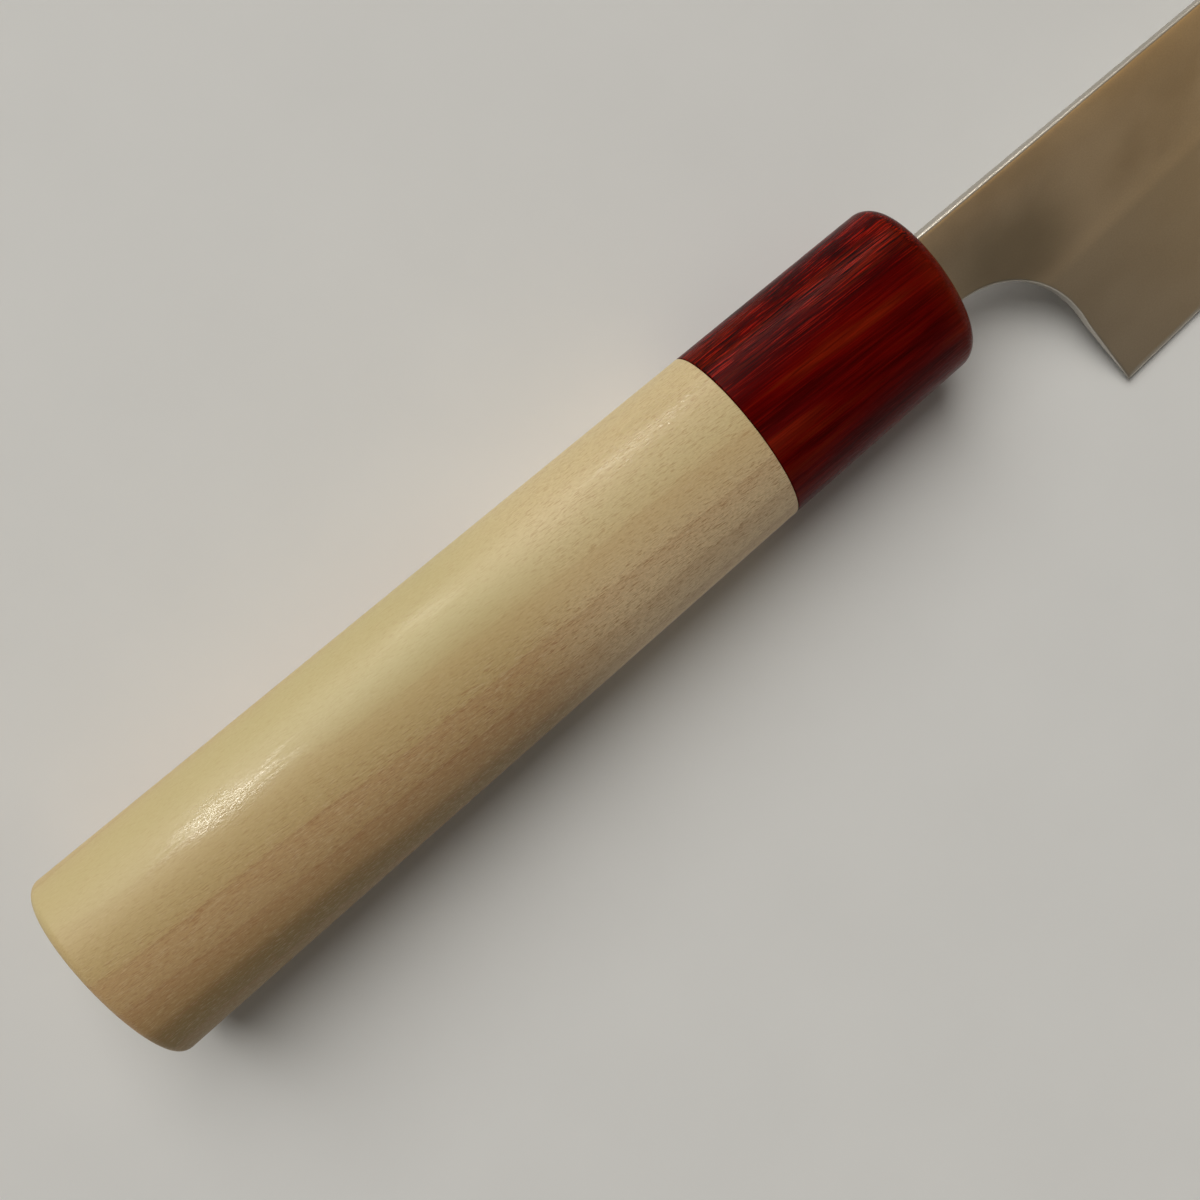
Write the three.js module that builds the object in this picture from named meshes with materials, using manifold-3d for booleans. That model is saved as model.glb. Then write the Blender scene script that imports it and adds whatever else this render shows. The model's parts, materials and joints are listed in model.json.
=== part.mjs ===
// Petty knife with an oval wooden handle, a red ferrule and a hidden tang, lying on its left side.
// Millimetres, +Z up. Every piece is drawn in the knife's own axes first: X runs from the butt to the
// tip with x = 0 at the front of the ferrule, Y from the edge to the spine, Z out of the right face.
import * as THREE from 'three';
import { LoftGeometry } from 'three/addons/geometries/LoftGeometry.js';
import { ConvexHull } from 'three/addons/math/ConvexHull.js';
import { mergeVertices } from 'three/addons/utils/BufferGeometryUtils.js';
import Module from 'manifold-3d';

const wasm = await Module();
wasm.setup();

// Handle wood and ferrule: oval sections, height along Y and thickness along Z
const woodLength = 91;
const ferruleLength = 28.7;
const buttHeight = 25.2;
const buttThickness = 20.2;
const mouthHeight = 22;
const mouthThickness = 17.6;
const buttEdgeRadius = 1.2;
const mouthEdgeRadius = 2.2;
const tenonLength = 18;
const ferruleWall = 2.8;

// Neck and tang
const neckTop = 4.7;
const neckBottom = 5;
const neckDepth = 4;
const tangLength = 82;
const tangRootHeight = 8;
const tangEndHeight = 4.6;

// Blade profile: the heel is placed from the ferrule's front and the handle's axis
const bladeLength = 150;
const heelSetback = 16.6;
const heelDrop = 27.9;
const choilStart = 1.9;
const choilRadius = 13.4;
const spineFallDegrees = 0.35;
const spineCurveLength = 52;
const edgeRiseDegrees = 3;
const edgeFlatLength = 45;
const tipDrop = 10;
const spineShoulder = 17;
const bellyShoulder = 42;

// Blade section: two flat upper faces, then a wide bevel down to the edge
const stockThickness = 2.3;
const spineThicknessAtCurve = 1.4;
const bevelTopThickness = 2;
const bevelHeight = 17.6;
const edgeThickness = 0.2;

// Fits: the glue line between neighbours, and the wall of the cast around the tang
const bondGap = 0.3;
const castWall = 0.8;
const sealDepth = 2.2;

// Facets
const ovalSides = 64;
const roundingSteps = 5;
const curveSteps = 14;

// Space that a cutting body reaches past the face it opens
const cutReach = 2;

const materials = {
  steel: { density: 7.85e-3, color: 0x9a938a, roughness: 0.38, metalness: 0.95 },
  paleWood: { density: 0.6e-3, color: 0xc3ae7d, roughness: 0.55, metalness: 0 },
  redWood: { density: 0.6e-3, color: 0x6e0f0a, roughness: 0.3, metalness: 0 },
  adhesive: { density: 1.1e-3, color: 0x3a332c, roughness: 0.5, metalness: 0 },
};

const handleLength = woodLength + bondGap + ferruleLength;
const heel = new THREE.Vector2(heelSetback, -heelDrop);
const tip = new THREE.Vector2(heelSetback + bladeLength, -tipDrop);
const spineSlope = -Math.tan(THREE.MathUtils.degToRad(spineFallDegrees));
const edgeSlope = Math.tan(THREE.MathUtils.degToRad(edgeRiseDegrees));
const spineCurveStart = tip.x - spineCurveLength;
const castReach = bondGap + castWall;
const boreReach = castReach + bondGap;

const spineHeight = (x) => neckTop + spineSlope * x;
const edgeLineHeight = (x) => heel.y + edgeSlope * (x - heel.x);

// Solids and geometry

function toSolid(geometry) {
  const bare = new THREE.BufferGeometry();
  bare.setAttribute('position', geometry.getAttribute('position'));
  bare.setIndex(geometry.getIndex());
  const merged = mergeVertices(bare);
  const vertProperties = new Float32Array(merged.getAttribute('position').array);
  const triVerts = new Uint32Array(merged.getIndex().array);
  return new wasm.Manifold(new wasm.Mesh({ numProp: 3, vertProperties, triVerts }));
}

function toGeometry(solid) {
  const { vertProperties, triVerts } = solid.getMesh();
  const geometry = new THREE.BufferGeometry();
  geometry.setAttribute('position', new THREE.BufferAttribute(vertProperties, 3));
  geometry.setIndex(new THREE.BufferAttribute(triVerts, 1));
  geometry.computeVertexNormals();
  return geometry;
}

function cut(geometry, ...tools) {
  const solid = tools.reduce((body, tool) => body.subtract(toSolid(tool)), toSolid(geometry));
  return toGeometry(solid);
}

// A plate cut to an outline in the XY plane, with its thickness centred on the handle's axis
function plate(outline, thickness) {
  const geometry = new THREE.ExtrudeGeometry(outline, {
    depth: thickness,
    bevelEnabled: false,
    curveSegments: curveSteps,
  });
  return geometry.translate(0, 0, -thickness / 2);
}

// Oval sections

function outsideOval(x) {
  const backward = -x / handleLength;
  return {
    x,
    height: THREE.MathUtils.lerp(mouthHeight, buttHeight, backward),
    thickness: THREE.MathUtils.lerp(mouthThickness, buttThickness, backward),
  };
}

// Ovals of the rounded edge at one end: direction is -1 at the butt and +1 at the mouth
function roundedEnd(endX, direction, radius) {
  const ovals = [];
  for (let step = 0; step <= roundingSteps; step++) {
    const angle = (step / roundingSteps) * (Math.PI / 2);
    const oval = outsideOval(endX - direction * radius * (1 - Math.sin(angle)));
    const inset = radius * (1 - Math.cos(angle));
    ovals.push({ x: oval.x, height: oval.height - 2 * inset, thickness: oval.thickness - 2 * inset });
  }
  return direction > 0 ? ovals : ovals.reverse();
}

function ovalLoft(ovals) {
  const sections = ovals.map(({ x, height, thickness }) => {
    const ring = [];
    for (let side = 0; side < ovalSides; side++) {
      const angle = (side / ovalSides) * 2 * Math.PI;
      ring.push(new THREE.Vector3(x, (height / 2) * Math.cos(angle), (thickness / 2) * Math.sin(angle)));
    }
    return ring;
  });
  return new LoftGeometry(sections, { capStart: true, capEnd: true });
}

// The ferrule's socket, and the tenon that fills it less the glue line
function socketOval(x, gap) {
  return {
    x,
    height: mouthHeight - 2 * ferruleWall - 2 * gap,
    thickness: mouthThickness - 2 * ferruleWall - 2 * gap,
  };
}

// Neck and tang outline, widened by reach on every side, from the tang's end to x = front
function tangOutline(reach, front) {
  const shoulderX = -neckDepth - reach;
  const endX = -neckDepth - tangLength - reach;
  const outline = new THREE.Shape();
  outline.moveTo(front, neckTop + reach);
  outline.lineTo(shoulderX, neckTop + reach);
  outline.lineTo(shoulderX, tangRootHeight / 2 + reach);
  outline.lineTo(endX, tangEndHeight / 2 + reach);
  outline.lineTo(endX, -tangEndHeight / 2 - reach);
  outline.lineTo(shoulderX, -tangRootHeight / 2 - reach);
  outline.lineTo(shoulderX, -neckBottom - reach);
  outline.lineTo(front, -neckBottom - reach);
  return outline;
}

function tangBore() {
  return plate(tangOutline(boreReach, cutReach), stockThickness + 2 * boreReach);
}

// Handle pieces

function handleBody() {
  const shoulder = -ferruleLength - bondGap;
  const tenonEnd = -ferruleLength + tenonLength;
  const outside = ovalLoft([
    ...roundedEnd(-handleLength, -1, buttEdgeRadius),
    outsideOval(shoulder),
    socketOval(shoulder, bondGap),
    socketOval(tenonEnd, bondGap),
  ]);
  return cut(outside, tangBore());
}

function ferrule() {
  const back = -ferruleLength;
  const outside = ovalLoft([outsideOval(back), ...roundedEnd(0, 1, mouthEdgeRadius)]);
  const socket = ovalLoft([socketOval(back - cutReach, 0), socketOval(back + tenonLength + bondGap, 0)]);
  return cut(outside, socket, tangBore());
}

function tangBedding() {
  const front = -sealDepth - bondGap;
  const cast = plate(tangOutline(castReach, front), stockThickness + 2 * castReach);
  const tangSpace = plate(tangOutline(bondGap, front + cutReach), stockThickness + 2 * bondGap);
  return cut(cast, tangSpace);
}

// Rectangle around the neck, seen along the handle: shape x is Y and shape y is Z
function neckRectangle(path, reach) {
  const halfThickness = stockThickness / 2 + reach;
  path.moveTo(-neckBottom - reach, -halfThickness);
  path.lineTo(neckTop + reach, -halfThickness);
  path.lineTo(neckTop + reach, halfThickness);
  path.lineTo(-neckBottom - reach, halfThickness);
  path.closePath();
  return path;
}

function mouthSeal() {
  const ring = neckRectangle(new THREE.Shape(), castReach);
  ring.holes.push(neckRectangle(new THREE.Path(), bondGap));
  const geometry = new THREE.ExtrudeGeometry(ring, { depth: sealDepth, bevelEnabled: false });
  const alongHandle = new THREE.Matrix4().makeBasis(
    new THREE.Vector3(0, 1, 0),
    new THREE.Vector3(0, 0, 1),
    new THREE.Vector3(1, 0, 0),
  );
  return geometry.applyMatrix4(alongHandle).translate(-sealDepth, 0, 0);
}

// Blade

// Blank: spine, tip, choil, neck and tang, left deeper than the finished edge
function bladeBlank() {
  const arcCentre = new THREE.Vector2(choilStart, -neckBottom - choilRadius);
  const arcEnd = new THREE.Vector2(choilStart + choilRadius, arcCentre.y);
  const heelDirection = heel.clone().sub(arcEnd).normalize();
  const belowHeel = heel.clone().addScaledVector(heelDirection, cutReach);
  const shoulder = tip.x - spineShoulder;
  const endX = -neckDepth - tangLength;

  const outline = new THREE.Shape();
  outline.moveTo(endX, tangEndHeight / 2);
  outline.lineTo(endX, -tangEndHeight / 2);
  outline.lineTo(-neckDepth, -tangRootHeight / 2);
  outline.lineTo(-neckDepth, -neckBottom);
  outline.lineTo(choilStart, -neckBottom);
  outline.absarc(arcCentre.x, arcCentre.y, choilRadius, Math.PI / 2, 0, true);
  outline.lineTo(belowHeel.x, belowHeel.y);
  outline.lineTo(tip.x, belowHeel.y);
  outline.lineTo(tip.x, tip.y);
  outline.quadraticCurveTo(shoulder, spineHeight(shoulder), spineCurveStart, spineHeight(spineCurveStart));
  outline.lineTo(0, spineHeight(0));
  outline.lineTo(-neckDepth, neckTop);
  outline.lineTo(-neckDepth, tangRootHeight / 2);
  return plate(outline, stockThickness);
}

// Edge from behind the tang to past the tip: straight from the heel, then a belly up to the tip
function edgePoints() {
  const flatEnd = heel.x + edgeFlatLength;
  const bellyControl = tip.x - bellyShoulder;
  const backX = -neckDepth - tangLength - cutReach;
  const edge = new THREE.Path();
  edge.moveTo(backX, edgeLineHeight(backX));
  edge.lineTo(flatEnd, edgeLineHeight(flatEnd));
  edge.quadraticCurveTo(bellyControl, edgeLineHeight(bellyControl), tip.x, tip.y);
  const tipSlope = (tip.y - edgeLineHeight(bellyControl)) / bellyShoulder;
  edge.lineTo(tip.x + cutReach, tip.y + tipSlope * cutReach);
  return edge.getPoints(curveSteps);
}

// Upper face of the right side, set by the thickness at the mouth, above the heel and at the tip's curve
function rightFlat() {
  const atMouth = new THREE.Vector3(0, neckTop, stockThickness / 2);
  const aboveHeel = new THREE.Vector3(heel.x, heel.y + bevelHeight, bevelTopThickness / 2);
  const atCurve = new THREE.Vector3(spineCurveStart, spineHeight(spineCurveStart), spineThicknessAtCurve / 2);
  return new THREE.Plane().setFromCoplanarPoints(atMouth, aboveHeel, atCurve);
}

// Ground body: the blade's section swept along the edge, flat above the bevel and wedged below it
function groundBody() {
  const { normal, constant } = rightFlat();
  const flatHalf = (x, y) => -(normal.x * x + normal.y * y + constant) / normal.z;
  const flatReach = neckTop + heelDrop;
  const sections = edgePoints().map(({ x, y }) => {
    const bevelTop = y + bevelHeight;
    const above = bevelTop + flatReach;
    const edgeHalf = edgeThickness / 2;
    return [
      new THREE.Vector3(x, y, -edgeHalf),
      new THREE.Vector3(x, bevelTop, -flatHalf(x, bevelTop)),
      new THREE.Vector3(x, above, -flatHalf(x, above)),
      new THREE.Vector3(x, above, flatHalf(x, above)),
      new THREE.Vector3(x, bevelTop, flatHalf(x, bevelTop)),
      new THREE.Vector3(x, y, edgeHalf),
    ];
  });
  return new LoftGeometry(sections, { capStart: true, capEnd: true });
}

function blade() {
  return toGeometry(toSolid(bladeBlank()).intersect(toSolid(groundBody())));
}

// Assembly

function piece(name, geometry, finish) {
  const { color, roughness, metalness } = finish;
  const mesh = new THREE.Mesh(geometry, new THREE.MeshStandardMaterial({ color, roughness, metalness }));
  mesh.name = name;
  mesh.userData.density = finish.density;
  return mesh;
}

const grip = new THREE.Group();
grip.add(piece('handle_body', handleBody(), materials.paleWood));
grip.add(piece('ferrule', ferrule(), materials.redWood));

const bond = new THREE.Group();
bond.add(piece('tang_bedding', tangBedding(), materials.adhesive));
bond.add(piece('mouth_seal', mouthSeal(), materials.adhesive));

const knife = new THREE.Group();
knife.add(piece('blade', blade(), materials.steel));
knife.add(grip);
knife.add(bond);

// Resting pose

function centreOfMass(object) {
  const centre = new THREE.Vector3();
  let mass = 0;
  object.traverse((child) => {
    if (!child.isMesh) return;
    const corners = child.geometry.getAttribute('position');
    const index = child.geometry.getIndex();
    const count = index ? index.count : corners.count;
    const [a, b, c] = [new THREE.Vector3(), new THREE.Vector3(), new THREE.Vector3()];
    for (let first = 0; first < count; first += 3) {
      [a, b, c].forEach((corner, offset) => {
        const place = index ? index.getX(first + offset) : first + offset;
        corner.fromBufferAttribute(corners, place);
      });
      const wedge = (child.userData.density * a.dot(b.clone().cross(c))) / 6;
      mass += wedge;
      centre.addScaledVector(a.clone().add(b).add(c), wedge / 4);
    }
  });
  return centre.divideScalar(mass);
}

// The knife lies on the left face of its hull that comes nearest to its centre of mass
function restingFace(object) {
  const centre = centreOfMass(object);
  const hull = new ConvexHull().setFromObject(object);
  const leftFaces = hull.faces.filter((face) => face.normal.z < 0);
  const depth = (face) => -face.distanceToPoint(centre);
  return leftFaces.reduce((best, face) => (depth(face) < depth(best) ? face : best));
}

// Turned so that this face lies level and the handle's axis runs along +X, seen from above
function layDown(object) {
  const up = restingFace(object).normal.clone().negate();
  const along = new THREE.Vector3(1, 0, 0).projectOnPlane(up).normalize();
  const across = up.clone().cross(along);
  const turn = new THREE.Matrix4().makeBasis(along, across, up).transpose();
  object.quaternion.setFromRotationMatrix(turn);
  const box = new THREE.Box3().setFromObject(object, true);
  const middle = box.getCenter(new THREE.Vector3());
  object.position.set(-middle.x, -middle.y, -box.min.z);
}

layDown(knife);

export default knife;
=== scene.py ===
# %% [markdown]
# # A petty knife with an oval wooden handle
# The knife has a steel blade with a hidden tang, a red wooden ferrule and a grip of pale wood. It lies on
# its left side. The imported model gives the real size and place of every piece, and this lesson gives each
# piece its finished surface.

# %% Load the frame
import json
import math

import bmesh
import bpy
from mathutils import Matrix, Vector


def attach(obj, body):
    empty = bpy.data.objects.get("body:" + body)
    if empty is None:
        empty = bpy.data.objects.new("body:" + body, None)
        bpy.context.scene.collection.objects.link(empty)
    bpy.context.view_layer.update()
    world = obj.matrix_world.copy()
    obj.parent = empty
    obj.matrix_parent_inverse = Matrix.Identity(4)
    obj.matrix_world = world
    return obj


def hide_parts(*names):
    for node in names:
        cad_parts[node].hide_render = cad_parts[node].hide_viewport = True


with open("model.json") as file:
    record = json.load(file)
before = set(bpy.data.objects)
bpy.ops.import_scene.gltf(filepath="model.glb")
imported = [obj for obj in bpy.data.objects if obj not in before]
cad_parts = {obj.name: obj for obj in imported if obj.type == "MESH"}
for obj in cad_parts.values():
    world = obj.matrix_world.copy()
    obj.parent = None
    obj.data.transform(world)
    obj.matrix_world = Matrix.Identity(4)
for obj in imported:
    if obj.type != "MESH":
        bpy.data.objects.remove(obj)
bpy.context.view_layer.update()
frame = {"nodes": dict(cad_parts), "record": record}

MM = 0.001
print("nodes:", ", ".join(sorted(frame["nodes"])))

# %% [markdown]
# ## The knife's own axes
# A knife is drawn most easily along its own length: X from the butt to the tip, Y from the edge to the spine
# and Z out of the right face, with x = 0 at the front of the ferrule. The model lies rolled on its side, so
# the three mounts are used to find these axes. Every piece is modelled along them, and one matrix lays the
# finished piece down.

# %% Find the knife's axes from its mounts
mounts = {mount["name"]: mount for mount in frame["record"]["mounts"]}
butt_centre = Vector(mounts["butt_face"]["pos_m"])
along = -Vector(mounts["butt_face"]["axis"]).normalized()
face_to_face = Vector(mounts["blade_right_flat"]["axis"]) - Vector(mounts["blade_left_flat"]["axis"])
spineward = face_to_face.cross(along).normalized()
outward = along.cross(spineward)


def reach(node_name, direction):
    """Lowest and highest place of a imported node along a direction."""
    places = [vertex.co.dot(direction) for vertex in frame["nodes"][node_name].data.vertices]
    return min(places), max(places)


handle_length = reach("ferrule", along)[1] - butt_centre.dot(along)
knife_origin = butt_centre + along * handle_length
turn = Matrix((along, spineward, outward)).transposed()
knife_to_row = Matrix.Translation(knife_origin) @ turn.to_4x4()
row_to_knife = knife_to_row.inverted()
print(f"handle {handle_length / MM:.1f} mm, rolled {math.degrees(math.asin(spineward.z)):.1f} degrees")

# %% [markdown]
# ## Camera
# The camera stands almost straight above the handle, a little towards its butt and its spine, close enough
# for the blade to leave the picture. It is set by three things: where it stands, the point that it looks at
# and how far the handle leans in the picture. A 45 mm lens on the usual 36 mm sensor gives the perspective.

# %% Set the camera
EYE = Vector((-70.97, 57.62, 158.80)) * MM
AIM = Vector((-52.81, -4.37, 0.0)) * MM
LEAN = math.radians(40.52)
LENS = 45
SENSOR = 36
NEAREST_SEEN = 0.01

eye = knife_to_row @ EYE
look = (knife_to_row @ AIM - eye).normalized()
handle_in_picture = (along - look * along.dot(look)).normalized()
square_to_handle = handle_in_picture.cross(look)
picture_right = handle_in_picture * math.cos(LEAN) - square_to_handle * math.sin(LEAN)
picture_up = handle_in_picture * math.sin(LEAN) + square_to_handle * math.cos(LEAN)

camera_data = bpy.data.cameras.new("camera")
camera_data.lens = LENS
camera_data.sensor_width = SENSOR
camera_data.clip_start = NEAREST_SEEN
camera = bpy.data.objects.new("camera", camera_data)
camera_axes = Matrix((picture_right, picture_up, -look)).transposed()
camera.matrix_world = Matrix.Translation(eye) @ camera_axes.to_4x4()
bpy.context.scene.collection.objects.link(camera)
bpy.context.scene.camera = camera
print("camera at", [round(value, 3) for value in eye])

# %% [markdown]
# ## Nodes for floor, light and finish
# Materials and the world are trees of nodes. These few helpers add a node, connect it, mix two colours and
# turn one range of values into another.

# %% Helpers for nodes


def feed(tree, socket, value):
    """Links an input to another node's output, or sets it to a plain value."""
    if isinstance(value, bpy.types.NodeSocket):
        tree.links.new(value, socket)
    else:
        socket.default_value = value


def add_node(tree, kind, settings=None, **sockets):
    """Adds a node, sets its properties, then links or sets its inputs by their names."""
    made = tree.nodes.new(kind)
    for name, value in (settings or {}).items():
        setattr(made, name, value)
    for name, value in sockets.items():
        feed(tree, made.inputs[name.replace("_", " ")], value)
    return made


def mixed(tree, factor, first, second):
    """Two colours mixed by a factor."""
    mix = add_node(tree, "ShaderNodeMix", {"data_type": "RGBA"}, Factor=factor, A=first, B=second)
    return mix.outputs["Result"]


def band(tree, value, low, high, to_low=0.0, to_high=1.0):
    """Turns a range of values smoothly into another range, held at both ends."""
    ranged = add_node(
        tree,
        "ShaderNodeMapRange",
        {"interpolation_type": "SMOOTHSTEP"},
        Value=value,
        From_Min=low,
        From_Max=high,
        To_Min=to_low,
        To_Max=to_high,
    )
    return ranged.outputs["Result"]


def paint(red, green, blue):
    """A colour given as on a screen, 0 to 255, turned into the linear light that nodes use."""
    def linear(value):
        share = value / 255
        return share / 12.92 if share <= 0.04045 else ((share + 0.055) / 1.055) ** 2.4
    return (linear(red), linear(green), linear(blue), 1.0)


def new_material(name):
    """An empty material with its shader and output, and the shader to connect to."""
    material = bpy.data.materials.new(name)
    material.use_nodes = True
    tree = material.node_tree
    tree.nodes.clear()
    shader = add_node(tree, "ShaderNodeBsdfPrincipled")
    add_node(tree, "ShaderNodeOutputMaterial", Surface=shader.outputs["BSDF"])
    return material, tree, shader


print("node helpers ready")

# %% [markdown]
# ## Floor and light
# One wide, soft sun on the spine's side lights the floor evenly and gives the grip its shading, from light
# near the spine to shade near the edge. The other lamps are panels that show in reflections only: a soft box
# for the satin sheen, three small ones for the sparkle on polished wood, and larger, dimmer ones for the
# steel. Most of these hang on the edge's side, because that is the part of the studio that the blade's face
# mirrors. The world is dim above and pale at the horizon, close to the floor's own tone.

# %% Lay the floor
FLOOR_SIZE = 60.0
FLOOR_TONES = (paint(228, 229, 230), paint(234, 235, 236))
FLOOR_ROUGHNESS = 0.7
SPECKLES_PER_METRE = 60.0

bpy.ops.object.select_all(action="DESELECT")
bpy.ops.mesh.primitive_plane_add(size=FLOOR_SIZE)
floor = bpy.context.object
floor.name = "floor"
floor_paint, tree, shader = new_material("pale floor")
floor_place = add_node(tree, "ShaderNodeTexCoord").outputs["Object"]
speckle = add_node(tree, "ShaderNodeTexNoise", Vector=floor_place, Scale=SPECKLES_PER_METRE, Detail=3.0)
feed(tree, shader.inputs["Base Color"], mixed(tree, speckle.outputs["Fac"], *FLOOR_TONES))
shader.inputs["Roughness"].default_value = FLOOR_ROUGHNESS
floor.data.materials.append(floor_paint)
print("floor laid")

# %% Hang the lamps
GRIP_MIDDLE_X = -60 * MM
GRIP_MIDDLE = knife_to_row @ Vector((GRIP_MIDDLE_X, 0, 0))
LAMP_DISTANCE = 2.0
DAYLIGHT = (1.0, 0.97, 0.9)
WARM = (1.0, 0.63, 0.21)
GOLD = (1.0, 0.6, 0.2)
SUN_DIRECTION = (0.0, 0.62, 0.78)
SUN_STRENGTH = 2.15
SUN_SPREAD = math.radians(52)

# Each panel has a name, a direction from the grip, a width and a height in metres, its watts and its colour.
PANELS = (
    ("soft box", (0.0, 0.82, 0.57), 1.6, 1.2, 12.5, DAYLIGHT),
    ("side lamp", (0.04, 0.92, 0.39), 0.5, 0.15, 1.7, DAYLIGHT),
    ("joint lamp", (0.33, 0.82, 0.48), 0.65, 0.1, 4.4, DAYLIGHT),
    ("high lamp", (-0.16, 0.6, 0.78), 0.3, 0.3, 8.5, DAYLIGHT),
    ("spine panel", (0.62, -0.12, 0.78), 1.0, 1.0, 2.5, GOLD),
    ("bevel panel", (0.82, -0.5, 0.32), 1.1, 1.1, 2.2, WARM),
    ("top panel", (-0.12, -0.54, 0.83), 0.9, 0.9, 2.1, DAYLIGHT),
    ("butt panel", (-0.72, 0.15, 0.68), 1.6, 1.6, 3.2, DAYLIGHT),
    ("tip panel", (0.62, 0.62, 0.48), 1.2, 1.2, 1.6, DAYLIGHT),
)


def hang(name, kind, direction, energy, colour):
    """Hangs a lamp in a direction from the grip, turned to shine at it."""
    lamp = bpy.data.objects.new(name, bpy.data.lights.new(name, kind))
    lamp.data.energy = energy
    lamp.data.color = colour
    towards = Vector(direction).normalized()
    lamp.location = GRIP_MIDDLE + towards * LAMP_DISTANCE
    lamp.rotation_euler = towards.to_track_quat("Z", "Y").to_euler()
    bpy.context.scene.collection.objects.link(lamp)
    return lamp


def mirrored_panel(name, direction, width, height, watts, colour):
    """A flat lamp that shows in reflections only."""
    lamp = hang(name, "AREA", direction, watts, colour)
    lamp.data.shape = "RECTANGLE"
    lamp.data.size = width
    lamp.data.size_y = height
    lamp.visible_diffuse = False


soft_sun = hang("soft sun", "SUN", SUN_DIRECTION, SUN_STRENGTH, DAYLIGHT)
soft_sun.data.angle = SUN_SPREAD
soft_sun.visible_glossy = False
for panel in PANELS:
    mirrored_panel(*panel)
print("lamps:", ", ".join(sorted(light.name for light in bpy.data.lights)))

# %% Studio world
HORIZON_TONE = (0.5, 0.49, 0.46, 1.0)
OVERHEAD_TONE = (0.07, 0.064, 0.056, 1.0)
FADE_TOP = 0.5

world = bpy.data.worlds.new("studio")
world.use_nodes = True
sky = world.node_tree
sky_direction = add_node(sky, "ShaderNodeTexCoord").outputs["Generated"]
sky_height = add_node(sky, "ShaderNodeSeparateXYZ", Vector=sky_direction).outputs["Z"]
sky_tone = mixed(sky, band(sky, sky_height, 0.0, FADE_TOP), HORIZON_TONE, OVERHEAD_TONE)
feed(sky, sky.nodes["Background"].inputs["Color"], sky_tone)
bpy.context.scene.world = world
bpy.context.scene.view_settings.view_transform = "Standard"
print("world:", world.name)

# %% [markdown]
# ## Tools of the workbench
# Modelling by hand is a round of the same moves: deselect all, add a primitive, pick some of its faces or
# edges, and act on them. Picking is done here by place: a test says where a corner has to be.

# %% Helpers for modelling
TOUCH = 0.002 * MM


def clear_selection():
    """Leaves edit mode and deselects everything."""
    if bpy.context.object is not None and bpy.context.object.mode == "EDIT":
        bpy.ops.object.mode_set(mode="OBJECT")
    bpy.ops.object.select_all(action="DESELECT")


def pick(kind, test):
    """In edit mode, selects the corners, edges or faces whose corners all pass the test."""
    bpy.ops.mesh.select_mode(type=kind)
    bpy.ops.mesh.select_all(action="DESELECT")
    mesh = bpy.context.edit_object.data
    shape = bmesh.from_edit_mesh(mesh)
    elements = {"VERT": shape.verts, "EDGE": shape.edges, "FACE": shape.faces}[kind]
    for element in elements:
        corners = [element] if kind == "VERT" else element.verts
        if all(test(corner.co) for corner in corners):
            element.select_set(True)
    bmesh.update_edit_mesh(mesh)


def at(place):
    """A test for corners that lie at a place along the knife."""
    return lambda corner: abs(corner.x - place) < TOUCH


def cut_away(piece, cutter):
    """Takes the cutter's shape out of a piece and throws the cutter away."""
    clear_selection()
    bpy.context.view_layer.objects.active = piece
    piece.select_set(True)
    modifier = piece.modifiers.new("cut", "BOOLEAN")
    modifier.operation = "DIFFERENCE"
    modifier.object = cutter
    bpy.ops.object.modifier_apply(modifier="cut")
    bpy.data.objects.remove(cutter)


def sizes_of(piece):
    """A piece's length, height and thickness in millimetres, for the printed notes."""
    return [round(size / MM, 1) for size in piece.dimensions]


print("workbench ready")

# %% [markdown]
# ## The oval of the handle
# Grip and ferrule are turned and sanded together, so both follow one oval that grows evenly from the mouth to
# the butt. A cylinder is laid along the knife and each of its two end rings is stretched to its oval. An end
# ring can then be rounded, and an end face inset and pushed in for a bore or out for a tenon.

# %% Oval bar
BUTT_HEIGHT = 25.2 * MM
BUTT_THICKNESS = 20.2 * MM
MOUTH_HEIGHT = 22.0 * MM
MOUTH_THICKNESS = 17.6 * MM
OVAL_SIDES = 128


def oval_at(place):
    """Height and thickness of the handle's oval at a place along the knife."""
    share = -place / handle_length
    height = MOUTH_HEIGHT + (BUTT_HEIGHT - MOUTH_HEIGHT) * share
    thickness = MOUTH_THICKNESS + (BUTT_THICKNESS - MOUTH_THICKNESS) * share
    return height, thickness


def oval_bar(name, back, front):
    """A cylinder along the knife, its ends stretched to the oval. It stays in edit mode."""
    clear_selection()
    bpy.ops.mesh.primitive_cylinder_add(
        vertices=OVAL_SIDES,
        radius=1.0,
        depth=front - back,
        location=((back + front) / 2, 0, 0),
        rotation=(0, math.pi / 2, 0),
    )
    bar = bpy.context.object
    bar.name = name
    bpy.ops.object.transform_apply(location=True, rotation=True, scale=True)
    bpy.ops.object.mode_set(mode="EDIT")
    for place in (back, front):
        height, thickness = oval_at(place)
        pick("VERT", at(place))
        bpy.ops.transform.resize(value=(1, height / 2, thickness / 2), center_override=(place, 0, 0))
    return bar


def round_ring(place, radius, segments):
    """Rounds the end ring at a place along the knife."""
    pick("EDGE", at(place))
    bpy.ops.mesh.bevel(offset=radius, segments=segments, affect="EDGES", clamp_overlap=False)


def push_end(place, wall, way):
    """Insets the end face at a place by a wall, and moves what is left of it along the knife."""
    pick("FACE", at(place))
    bpy.ops.mesh.inset(thickness=wall)
    bpy.ops.mesh.extrude_region_move(TRANSFORM_OT_translate={"value": (way, 0, 0)})


print("oval at the butt", [round(size / MM, 1) for size in oval_at(-handle_length)])

# %% [markdown]
# ## The ferrule
# The red collar is bored at the back for the grip's tenon and slotted at the front for the blade's neck. Its
# front rim is worn round. The rim is a bevel of the front ring, the bore is the back face inset and pushed
# in, and the slot is cut by a block with rounded corners.

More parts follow.
